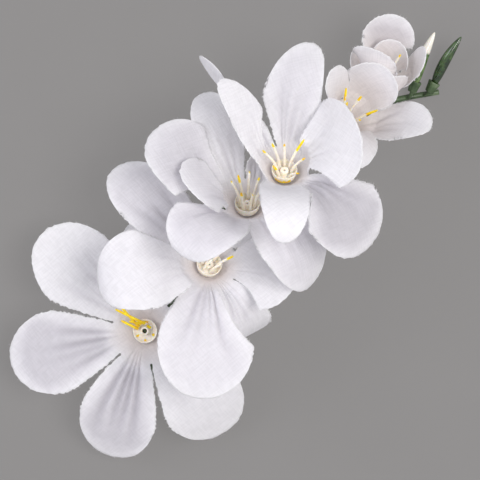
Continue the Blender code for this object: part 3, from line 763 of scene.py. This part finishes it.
def bud_direction(bud):
    """Where a bud points."""
    tilt, turn = radians(BUD_TILT), radians(bud.turn)
    return np.array([cos(tilt) * cos(turn), cos(tilt) * sin(turn), sin(tilt)])


def bud_peg(bud):
    """A bud's peg from the stem into its sleeve."""
    foot, direction = np.array(bud.foot), bud_direction(bud)
    start = np.array([*bud.peg_foot, THIN_END_RADIUS])
    bend = bezier(start, start + 0.8 * UP, foot - 1.2 * direction, foot, 10)
    return np.vstack([bend, foot + (SLEEVE_LENGTH - 1) * direction]), [BUD_PEG_RADIUS] * 11


print("Pegs:", len(BLOOMS), "for blooms and", len(BUDS), "for buds")

# %% A tube as mesh
def closed_rings(rings):
    """Vertices and faces of a closed form from rings of points."""
    loops = np.arange(len(rings) * len(rings[0])).reshape(len(rings), -1)
    return np.vstack(rings), quads(np.hstack([loops, loops[:, :1]])) + [tuple(loops[0][::-1]), tuple(loops[-1])]


def tube(points, radii, sides=16):
    """Vertices and faces of a closed tube along the points."""
    points, radii = np.asarray(points, dtype=float), np.asarray(radii, dtype=float)
    along = unit(np.gradient(points, axis=0))
    beside = np.cross(along[0], UP + 0.01)
    turns = np.linspace(0, 2 * pi, sides, endpoint=False)
    rings = []
    for place, direction, radius in zip(points, along, radii):
        beside = unit(beside - direction * (beside @ direction))
        other = np.cross(direction, beside)
        rings.append(place + radius * (np.outer(np.cos(turns), beside) + np.outer(np.sin(turns), other)))
    return closed_rings(rings)


def merge(parts):
    """Several (vertices, faces) as one."""
    verts, faces = [], []
    count = 0
    for part_verts, part_faces in parts:
        verts.append(part_verts)
        faces += [tuple(count + np.array(face)) for face in part_faces]
        count += len(part_verts)
    return np.vstack(verts), faces


print("A tube of 3 points has", len(tube([(0, 0, 0), (1, 0, 0), (2, 0, 0)], [1, 1, 1])[1]), "faces")

# %% The stem melted into one skin
VOXEL = 0.2
FLASH_RADIUS, FLASH_SINK = 0.07, 0.97  # the fine line where the mould's halves met, sunk a little into the side


def make_stem():
    """Stem and pegs in one skin, with the mould's parting line along both sides."""
    routes = [stem_line(), *[bloom_peg(bloom) for bloom in BLOOMS], *[bud_peg(bud) for bud in BUDS]]
    obj = mesh_object("stem_and_pegs", *merge([tube(*route) for route in routes]))
    melt = obj.modifiers.new("Melt", "REMESH")
    melt.mode = "VOXEL"
    melt.voxel_size = VOXEL * MM
    soften = obj.modifiers.new("Soften", "SMOOTH")
    soften.factor = 0.5
    soften.iterations = 4
    bake(obj)
    line, radii = stem_line()
    beside = unit(np.cross(np.gradient(line, axis=0), UP))
    flash = [tube(line + side * beside * radii[:, None] * FLASH_SINK, [FLASH_RADIUS] * len(line), 6)
             for side in (-1, 1)]
    join(obj, mesh_object("ridge", *merge(flash)))
    return dress(obj, GREEN, "stem")


STEM = make_stem()
print("The stem's skin has", len(STEM.data.polygons), "faces")

# %% [markdown]
# ## Turned and ribbed forms
# Calyxes, sleeves and inserts are round about their axes. Each is a closed profile carried round in steps.
# Ribs swell the outer side of a calyx a little six times on the way round, as on a real one, whose six seams
# run down from the petals. A bud's sleeve has five.

# %% A closed profile carried round an axis
def turned(profile, foot, axis, steps=48, ribs=0, rib_height=0.0, rib_from=0.0):
    """Vertices and faces; the profile's (radius, height) pairs run down the outside and up the inside."""
    across = unit(np.cross(UP + (0.3, 0.1, 0), axis))
    beside = np.cross(axis, across)
    rings = []
    for turn in np.linspace(0, 2 * pi, steps, endpoint=False):
        out = cos(turn) * across + sin(turn) * beside
        swell = 1 + rib_height * cos(ribs * turn)
        rings.append([foot + radius * (swell if radius > rib_from else 1) * out + height * axis
                      for radius, height in profile])
    verts = np.array(rings).reshape(-1, 3)
    loops = np.arange(len(verts)).reshape(steps, -1)
    closed = np.vstack([loops, loops[:1]])
    return verts, quads(np.hstack([closed, closed[:, :1]]))


def fine(profile, steps=4, round_off=0.25):
    """The profile with its corners softened, so that it shades round."""
    corners = np.asarray(profile, dtype=float)
    before, after = np.roll(corners, 1, axis=0), np.roll(corners, -1, axis=0)
    softened = []
    for previous, corner, following in zip(before, corners, after):
        start, end = [corner + (other - corner) * min(round_off / np.linalg.norm(other - corner), 0.4)
                      for other in (previous, following)]
        softened += [(1 - t) ** 2 * start + 2 * t * (1 - t) * corner + t ** 2 * end
                     for t in np.linspace(0, 1, steps)]
    return softened


print("A softened square has", len(fine([(1, 1), (1, 0), (2, 0), (2, 1)])), "points")

# %% The calyxes
CALYX_FOOT_RADIUS, CALYX_RIM_RADIUS = 1.75, 2.9
CALYX_BORE = PEG_RADIUS + 0.1


def make_calyx(bloom):
    """The flared cup under a corolla."""
    top = -0.45
    profile = fine([(CALYX_RIM_RADIUS, top), (CALYX_RIM_RADIUS, top - 0.5), (2.35, -3.4),
                    (CALYX_FOOT_RADIUS, -6.2), (CALYX_FOOT_RADIUS, -CALYX_LENGTH),
                    (CALYX_BORE, -CALYX_LENGTH), (CALYX_BORE, top)])
    form = turned(profile, bloom.throat, bloom_frame(bloom)[0], ribs=6, rib_height=0.035,
                  rib_from=CALYX_BORE + 0.3)
    obj = mesh_object("calyx_of_bloom_" + bloom.name, *form)
    return dress(obj, GREEN, "calyx_" + bloom.name)


CALYXES = [make_calyx(bloom) for bloom in BLOOMS]
print("Calyxes:", [obj.name for obj in CALYXES])

# %% [markdown]
# ## The stamen inserts
# Inside each bloom sits a moulded insert of cream plastic: a small dish with a hollow tube in the middle,
# and flat stamens that stand on it. In the blooms that lean far, the dish is a deeper cup. Yellow paint was
# dabbed on the tips and on some rims. The stamens repeat, so they are made by geometry nodes: bent lines go
# in, and flat tubes as thick as each point says come out.

# %% Cream plastic with yellow paint
CREAM_CLOUDS = 1100.0  # in each metre, so about 0.9 mm wide


def cream_plastic(tree):
    """Milky low-gloss plastic; the paint value turns it yellow, with an uneven edge."""
    place = add(tree, "ShaderNodeTexCoord").outputs["Object"]
    paint = add(tree, "ShaderNodeAttribute", attribute_name="paint").outputs["Fac"]
    clouds = add(tree, "ShaderNodeTexNoise", {"Vector": place, "Scale": CREAM_CLOUDS, "Detail": 2.0})
    uneven = add(tree, "ShaderNodeMath", {0: paint, 1: clouds}, operation="ADD")
    covered = add(tree, "ShaderNodeMapRange", {"Value": uneven, "From Min": 0.92, "From Max": 1.08})
    plastic = add(tree, "ShaderNodeValToRGB", {"Fac": clouds}, stops=((0.3, "#E9DECB"), (0.7, "#F6F0E5")))
    yellow = add(tree, "ShaderNodeValToRGB", {"Fac": clouds}, stops=((0.35, "#F6BC00"), (0.65, "#FFE014")))
    colour = add(tree, "ShaderNodeMix", {0: covered, 6: plastic, 7: yellow}, data_type="RGBA").outputs[2]
    return add(tree, "ShaderNodeBsdfPrincipled", {
        "Base Color": colour, "Roughness": 0.42, "Subsurface Weight": 0.6, "Subsurface Scale": 0.8 * MM,
        "Subsurface Radius": (1.0, 0.8, 0.5)})


CREAM = make_material("moulded_cream_polyethylene", cream_plastic)

# %% Geometry nodes that turn lines into stamens
def make_tree(name, inputs, build):
    """A node tree with named inputs; build returns the node that makes its shape from them."""
    tree = bpy.data.node_groups.new(name, "GeometryNodeTree")
    for socket, kind in (("Geometry", "Geometry"), *inputs, ("Material", "Material")):
        tree.interface.new_socket(socket, in_out="INPUT", socket_type="NodeSocket" + kind)
    tree.interface.new_socket("Geometry", in_out="OUTPUT", socket_type="NodeSocketGeometry")
    given = add(tree, "NodeGroupInput").outputs
    real = add(tree, "GeometryNodeRealizeInstances", {"Geometry": build(tree, given)})
    painted = add(tree, "GeometryNodeSetMaterial", {"Geometry": real, "Material": given["Material"]})
    add(tree, "NodeGroupOutput", {"Geometry": painted})
    print("The tree", name.lower(), "has", len(tree.nodes), "nodes")
    return tree


def stamen_shape(tree, given):
    """Edges become closed tubes of oval section, as thick as the points' own value."""
    curve = add(tree, "GeometryNodeMeshToCurve", {"Mesh": given["Geometry"]})
    thickness = add(tree, "GeometryNodeInputNamedAttribute", {"Name": "thickness"}, data_type="FLOAT")
    ring = add(tree, "GeometryNodeCurvePrimitiveCircle", {"Resolution": given["Sides"], "Radius": 1.0})
    shape = add(tree, "ShaderNodeCombineXYZ", {"X": 1.0, "Y": given["Flatness"], "Z": 1.0})
    oval = add(tree, "GeometryNodeTransform", {"Geometry": ring, "Scale": shape})
    tubes = add(tree, "GeometryNodeCurveToMesh", {"Curve": curve, "Profile Curve": oval, "Scale": thickness,
                                                  "Fill Caps": True})
    return add(tree, "GeometryNodeSetShadeSmooth", {"Geometry": tubes})


def grow(obj, tree, **inputs):
    """Runs a node tree on the object, with its inputs given by name, and keeps the plain mesh."""
    modifier = obj.modifiers.new(tree.name, "NODES")
    modifier.node_group = tree
    for item in tree.interface.items_tree:
        if item.in_out == "INPUT" and item.name in inputs:
            modifier[item.identifier] = inputs[item.name]
    return bake(obj)


STAMEN_TREE = make_tree("Stamens from lines", (("Sides", "Int"), ("Flatness", "Float")), stamen_shape)

# %% The lines of a bloom's stamens
FILAMENT_RING, INSERT_FLOOR = 1.85, 1.4
FILAMENT_THICKNESS = 0.42
STAMEN_STEPS = 18


def stamen_lines(bloom):
    """Points, edges, thickness and paint of every stamen of a bloom."""
    axis = bloom_frame(bloom)[0]
    throat = np.array(bloom.throat)
    points, edges, thickness, paint = [], [], [], []
    for filament in bloom.filaments:
        foot = throat + FILAMENT_RING * outward(bloom, filament.turn) + (INSERT_FLOOR - 0.3) * axis
        lean = radians(filament.lean)
        reach = filament.length * (sin(lean) * outward(bloom, filament.lean_turn) + cos(lean) * axis)
        rise = 0.45 * filament.length * axis
        line = bezier(foot, foot + rise, foot + 0.6 * reach + 0.3 * rise, foot + reach, STAMEN_STEPS)
        share = np.linspace(0, 1, STAMEN_STEPS)
        edges += [(len(points) + i, len(points) + i + 1) for i in range(STAMEN_STEPS - 1)]
        points += list(line)
        thickness += list(FILAMENT_THICKNESS * (1 - 0.25 * share) * np.sqrt(np.clip((1.04 - share) * 8, 0, 1)))
        paint += list(smooth((share - (1 - filament.yellow)) * 8 + 0.5) * 0.75)
    return points, edges, thickness, paint


print("Bloom 4 has", len(BLOOMS[3].filaments), "stamens")

# %% The inserts
INSERT_FOOT_RADIUS, INSERT_RIM_RADIUS, DISH_RADIUS = 2.95, 3.3, 2.6
INSERT_FOOT, INSERT_RIM, TUBE_TOP = 0.45, 1.9, 3.1  # heights above the throat
TUBE_RADIUS, TUBE_BORE = 1.15, 0.62
DAB_RADIUS, DAB_RING, CUP_DAB_RADIUS = 0.42, 2.5, 0.714
FAR = 9.0  # further than a dab reaches
CUP_WALL, CUP_BORE = 1.5, 0.3  # the dish is a cup with a wall this much higher
CUP_LEAN = 20  # in blooms that lean more than this


def make_insert(bloom):
    """Dish, tube and stamens of one bloom in one mesh."""
    axis, throat, rim = bloom_frame(bloom)[0], np.array(bloom.throat), INSERT_RIM_RADIUS
    wall, bore = (CUP_WALL, CUP_BORE) if bloom.lean > CUP_LEAN else (0, TUBE_BORE)
    profile = fine([(TUBE_RADIUS, TUBE_TOP), (TUBE_RADIUS, INSERT_FLOOR), (DISH_RADIUS, INSERT_FLOOR),
                    (rim - 0.2 + 0.1 * wall, INSERT_RIM + wall), (rim + 0.1 * wall, INSERT_RIM + wall),
                    (rim - 0.1 * wall, INSERT_FLOOR), (INSERT_FOOT_RADIUS - 0.2 * wall, INSERT_FOOT),
                    (bore, INSERT_FOOT), (bore, TUBE_TOP)])
    dish = mesh_object("dish", *turned(profile, throat, axis))
    ring, dab = (rim, CUP_DAB_RADIUS) if wall else (DAB_RING, DAB_RADIUS)
    spots = [throat + ring * outward(bloom, turn) + INSERT_FLOOR * axis for turn in bloom.dabs]
    places = np.array([vertex.co for vertex in dish.data.vertices]) / MM + SPRAY_MIDDLE
    distances = [np.full(len(places), FAR), *[np.linalg.norm(places - spot, axis=1) for spot in spots]]
    keep_value(dish, "paint", smooth(1.5 - np.min(distances, axis=0) / dab) * 0.8)
    points, edges, thickness, paint = stamen_lines(bloom)
    obj = mesh_object("stamens_" + bloom.name, points, edges=edges)
    keep_value(obj, "thickness", np.array(thickness) * MM)
    keep_value(obj, "paint", paint)
    grow(obj, STAMEN_TREE, Sides=12, Flatness=0.6, Material=CREAM)
    join(obj, dish)
    face_out(obj)
    return dress(obj, CREAM, "insert_" + bloom.name)


INSERTS = [make_insert(bloom) for bloom in BLOOMS]
print("Inserts:", [len(obj.data.polygons) for obj in INSERTS], "faces")

# %% [markdown]
# ## The closed buds
# Two closed buds end the spray. A bud is a slim pod with a sharp tip, moulded in glossy green, with a seam
# down each side. The first one's tip was dipped in cream paint. The pod is a grid carried round its own
# curved axis, so that its seams can be pressed in and its back can bend.

# %% The buds' material
BUD_CLOUDS = 420.0  # in each metre, so about 2.4 mm wide


def bud_plastic(tree):
    """Glossy dark green; the dip value turns it cream."""
    place = add(tree, "ShaderNodeTexCoord").outputs["Object"]
    tone, dip = [add(tree, "ShaderNodeAttribute", attribute_name=name).outputs["Fac"] for name in ("tone", "dip")]
    clouds = add(tree, "ShaderNodeTexNoise", {"Vector": place, "Scale": BUD_CLOUDS, "Detail": 3.0})
    mixed = add(tree, "ShaderNodeMath", {0: clouds, 1: tone}, operation="ADD")
    green = add(tree, "ShaderNodeValToRGB", {"Fac": mixed},
                stops=((0.25, "#0F1D0A"), (0.5, "#1D3215"), (0.75, "#466230"), (1.0, "#8DA36C")))
    uneven = add(tree, "ShaderNodeMath", {0: clouds, 1: 0.5, 2: dip}, operation="MULTIPLY_ADD")
    covered = add(tree, "ShaderNodeMapRange", {"Value": uneven, "From Min": 0.65, "From Max": 1.0})
    colour = add(tree, "ShaderNodeMix", {0: covered, 6: green, 7: "#E9E6DA"}, data_type="RGBA").outputs[2]
    return add(tree, "ShaderNodeBsdfPrincipled", {
        "Base Color": colour, "Roughness": 0.2, "Coat Weight": 0.9, "Coat Roughness": 0.06,
        "Subsurface Weight": 0.1, "Subsurface Scale": 0.4 * MM})


BUD_GREEN = make_material("glossy_green_polyethylene", bud_plastic)

# %% The pods
BUD_RADIUS, BUD_STEPS, BUD_SIDES = 1.75, 60, 48
BUD_SEAT = SLEEVE_LENGTH - 0.3
BUD_BEND, BUD_WIDTH_SHARE = 0.5, 0.94
SEAM_DEPTH, SEAM_TURN, SEAM_WIDTH = 0.12, 0.5, 0.16


def make_bud(bud):
    """One pod, with a seam down each side and a slight bend."""
    axis = bud_direction(bud)
    across = unit(np.cross(UP, axis))
    top = np.cross(axis, across)
    share = np.linspace(0, 1, BUD_STEPS)
    girth = BUD_RADIUS * (0.6 * np.sin(pi * share ** 0.85) ** 0.6 + 0.4 * (1 - share) ** 0.5)
    girth[0], girth[-1] = 0.35 * BUD_RADIUS, 0.02
    turns = np.linspace(0, 2 * pi, BUD_SIDES, endpoint=False)
    rings = []
    for t, radius in zip(share, girth):
        place = bud.foot + (BUD_SEAT + (BUD_LENGTH - BUD_SEAT) * t) * axis + BUD_BEND * sin(pi * t) * across
        seam = 1 - SEAM_DEPTH * np.exp(-(np.cos(turns - SEAM_TURN) / SEAM_WIDTH) ** 2) * (t > 0.02)
        out = np.outer(np.cos(turns), across) * BUD_WIDTH_SHARE + np.outer(np.sin(turns), top)
        rings.append(place + (radius * seam)[:, None] * out)
    obj = mesh_object("bud_" + bud.name + "_pod", *closed_rings(rings))
    along = np.repeat(share, BUD_SIDES)
    keep_value(obj, "dip", smooth((along - (1 - bud.bright)) * 5 + 0.5) if bud.bright else np.zeros(len(along)))
    keep_value(obj, "tone", bud.tone * (1 - along) + 0.15 * along)
    face_out(obj)
    return dress(obj, BUD_GREEN, "bud_" + bud.name)


def make_sleeve(bud):
    """The small flared cup that a pod sits in."""
    bore = BUD_PEG_RADIUS + 0.1
    profile = fine([(1.75, SLEEVE_LENGTH), (1.5, 2.0), (1.2, 0), (bore, 0), (bore, BUD_SEAT - 0.2),
                    (1.3, SLEEVE_LENGTH)])
    form = turned(profile, bud.foot, bud_direction(bud), ribs=5, rib_height=0.06, rib_from=1.0)
    obj = mesh_object("sleeve_of_bud_" + bud.name, *form)
    face_out(obj)
    return dress(obj, GREEN, "bud_calyx_" + bud.name)


PODS = [make_bud(bud) for bud in BUDS]
SLEEVES = [make_sleeve(bud) for bud in BUDS]
print("Pods and sleeves:", [obj.name for obj in PODS + SLEEVES])

# %% [markdown]
# ## Frayed threads
# The cut edge of a woven petal sheds short ends of thread. Each bloom needs about a thousand of them, so
# geometry nodes put a thin cone on every point of the edge. Each leans its own way, from a fixed seed.

# %% Geometry nodes that put a thread on every point
def fray_shape(tree, given):
    """Points become short thin threads that lean outwards."""
    out = add(tree, "GeometryNodeInputNamedAttribute", {"Name": "out"}, data_type="FLOAT_VECTOR")
    lean = add(tree, "FunctionNodeRandomValue", {"Min": (-0.5,) * 3, "Max": (0.5,) * 3, "Seed": given["Seed"]},
               data_type="FLOAT_VECTOR")
    aim = add(tree, "ShaderNodeVectorMath", {0: out, 1: lean}, operation="ADD")
    turn = add(tree, "FunctionNodeAlignRotationToVector", {"Vector": aim}, axis="Z")
    size = add(tree, "FunctionNodeRandomValue", {2: 0.15, 3: 1.0, "Seed": given["Seed"]}, data_type="FLOAT")
    cone = add(tree, "GeometryNodeMeshCone", {"Vertices": 3, "Radius Top": 0.0,
                                              "Radius Bottom": given["Thickness"], "Depth": given["Length"]})
    return add(tree, "GeometryNodeInstanceOnPoints", {
        "Points": given["Geometry"], "Instance": cone, "Rotation": turn, "Scale": size.outputs[1]})


FRAY_TREE = make_tree("Frayed threads", (("Length", "Float"), ("Thickness", "Float"), ("Seed", "Int")),
                      fray_shape)

# %% The threads of the six corollas
FRAY_LENGTH, FRAY_THICKNESS = 0.7, 0.045
FRAY_FROM_ROW = 8  # the slits' own ends shed nothing


def cut_edge(bloom):
    """Points along the lobes' cut edges, and the way out of the cloth at each."""
    places, ways = [], []
    for lobe in folded_lobes(bloom):
        grid = pressed_grid(lobe)[..., PLACE]
        sides = grid[FRAY_FROM_ROW:]
        for rim, inside in ((sides[:, 0], sides[:, 1]), (sides[:, -1], sides[:, -2]), (grid[-1], grid[-2])):
            places += list(rim)
            ways += list(unit(rim - inside))
    return np.array(places), np.array(ways)


def make_fray(bloom):
    """The loose thread ends of one corolla."""
    places, ways = cut_edge(bloom)
    obj = mesh_object("frayed_threads_" + bloom.name, places)
    layer = obj.data.attributes.new("out", "FLOAT_VECTOR", "POINT")
    layer.data.foreach_set("vector", ways.astype(np.float32).ravel())
    grow(obj, FRAY_TREE, Length=FRAY_LENGTH * MM, Thickness=FRAY_THICKNESS * MM, Seed=int(bloom.name),
         Material=FABRIC)
    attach(obj, "root")
    return obj


FRAYS = [make_fray(bloom) for bloom in BLOOMS]
print("Thread ends:", [len(obj.data.polygons) // 4 for obj in FRAYS])

# %% [markdown]
# ## Table, light and camera
# The spray lies on a plain matt table under two wide soft lamps and a bright room, as in a small product
# studio. The camera looks straight down from 0.7 m with a long lens, and is turned so that the stem runs
# from the lower left to the upper right.

# %% The table
TABLE_HALF, TABLE_DROP = 3000.0, 0.05
TABLE_CLOUDS = 30.0  # in each metre, so about 33 mm wide


def backlit_acrylic(tree):
    """Plain matt grey acrylic, faintly lit from below."""
    place = add(tree, "ShaderNodeTexCoord").outputs["Object"]
    clouds = add(tree, "ShaderNodeTexNoise", {"Vector": place, "Scale": TABLE_CLOUDS, "Detail": 2.0})
    colour = add(tree, "ShaderNodeValToRGB", {"Fac": clouds}, stops=((0.3, "#3E3D3D"), (0.7, "#403F3F")))
    return add(tree, "ShaderNodeBsdfPrincipled", {
        "Base Color": colour, "Roughness": 0.9, "Emission Color": "#8F8D8C", "Emission Strength": 0.72})


square = [(x * TABLE_HALF, y * TABLE_HALF, -TABLE_DROP) for x, y in ((-1, -1), (1, -1), (1, 1), (-1, 1))]
TABLE = mesh_object("table", square, [(0, 1, 2, 3)])
TABLE.data.materials.append(make_material("backlit_grey_acrylic", backlit_acrylic))
TABLE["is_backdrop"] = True
print("The table is", 2 * TABLE_HALF / 1000, "m wide")

# %% The lamps and the room's light
def lamp(name, place, size, power, colour):
    """A square area lamp that faces the spray."""
    data = bpy.data.lights.new(name, "AREA")
    data.size = size
    data.energy = power
    data.color = linear(colour)[:3]
    obj = bpy.data.objects.new(name, data)
    obj.location = place
    obj.rotation_mode = "QUATERNION"
    obj.rotation_quaternion = (-Vector(place)).to_track_quat("-Z", "Y")
    bpy.context.collection.objects.link(obj)
    return obj


KEY = lamp("key", (0.42, -0.42, 1.25), 0.7, 14.0, "#FFFDFB")
FILL = lamp("fill", (-0.62, 0.82, 0.95), 0.9, 10.0, "#F6F7FF")
world = bpy.data.worlds.new("bright_room")
world.use_nodes = True
world.node_tree.nodes["Background"].inputs["Color"].default_value = linear("#F4F4F8")
world.node_tree.nodes["Background"].inputs["Strength"].default_value = 0.6
bpy.context.scene.world = world
print("Lamps:", KEY.data.energy, "W and", FILL.data.energy, "W")

# %% The camera
VIEW_HEIGHT, VIEW_WIDTH, VIEW_ROLL = 700.0, 129.6, 42.0  # above the blooms, width seen there, degrees
BLOOM_HEIGHT = 20.0
SENSOR_WIDTH = 36.0
CAMERA_PLACE = (-6.19, -3.36, VIEW_HEIGHT + BLOOM_HEIGHT)
camera_data = bpy.data.cameras.new("camera")
camera_data.sensor_width = SENSOR_WIDTH
camera_data.lens = SENSOR_WIDTH * VIEW_HEIGHT / VIEW_WIDTH
CAMERA = bpy.data.objects.new("camera", camera_data)
CAMERA.location = Vector(CAMERA_PLACE) * MM
CAMERA.rotation_euler = (0, 0, -radians(VIEW_ROLL))
bpy.context.collection.objects.link(CAMERA)
bpy.context.scene.camera = CAMERA
bpy.context.scene.view_settings.view_transform = "Standard"
print("The lens is", round(camera_data.lens), "mm long")

# %% [markdown]
# ## Sizes
# The dressed spray is meant to keep the size of the solid model. Both boxes are printed side by side.

# %% Print the two boxes
SIZES = {"cad": [list(corner) for corner in cad_box], "visual": [list(corner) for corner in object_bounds()]}
for name, box in SIZES.items():
    print("The", name, "box in mm:", [[round(v / MM, 1) for v in corner] for corner in box])
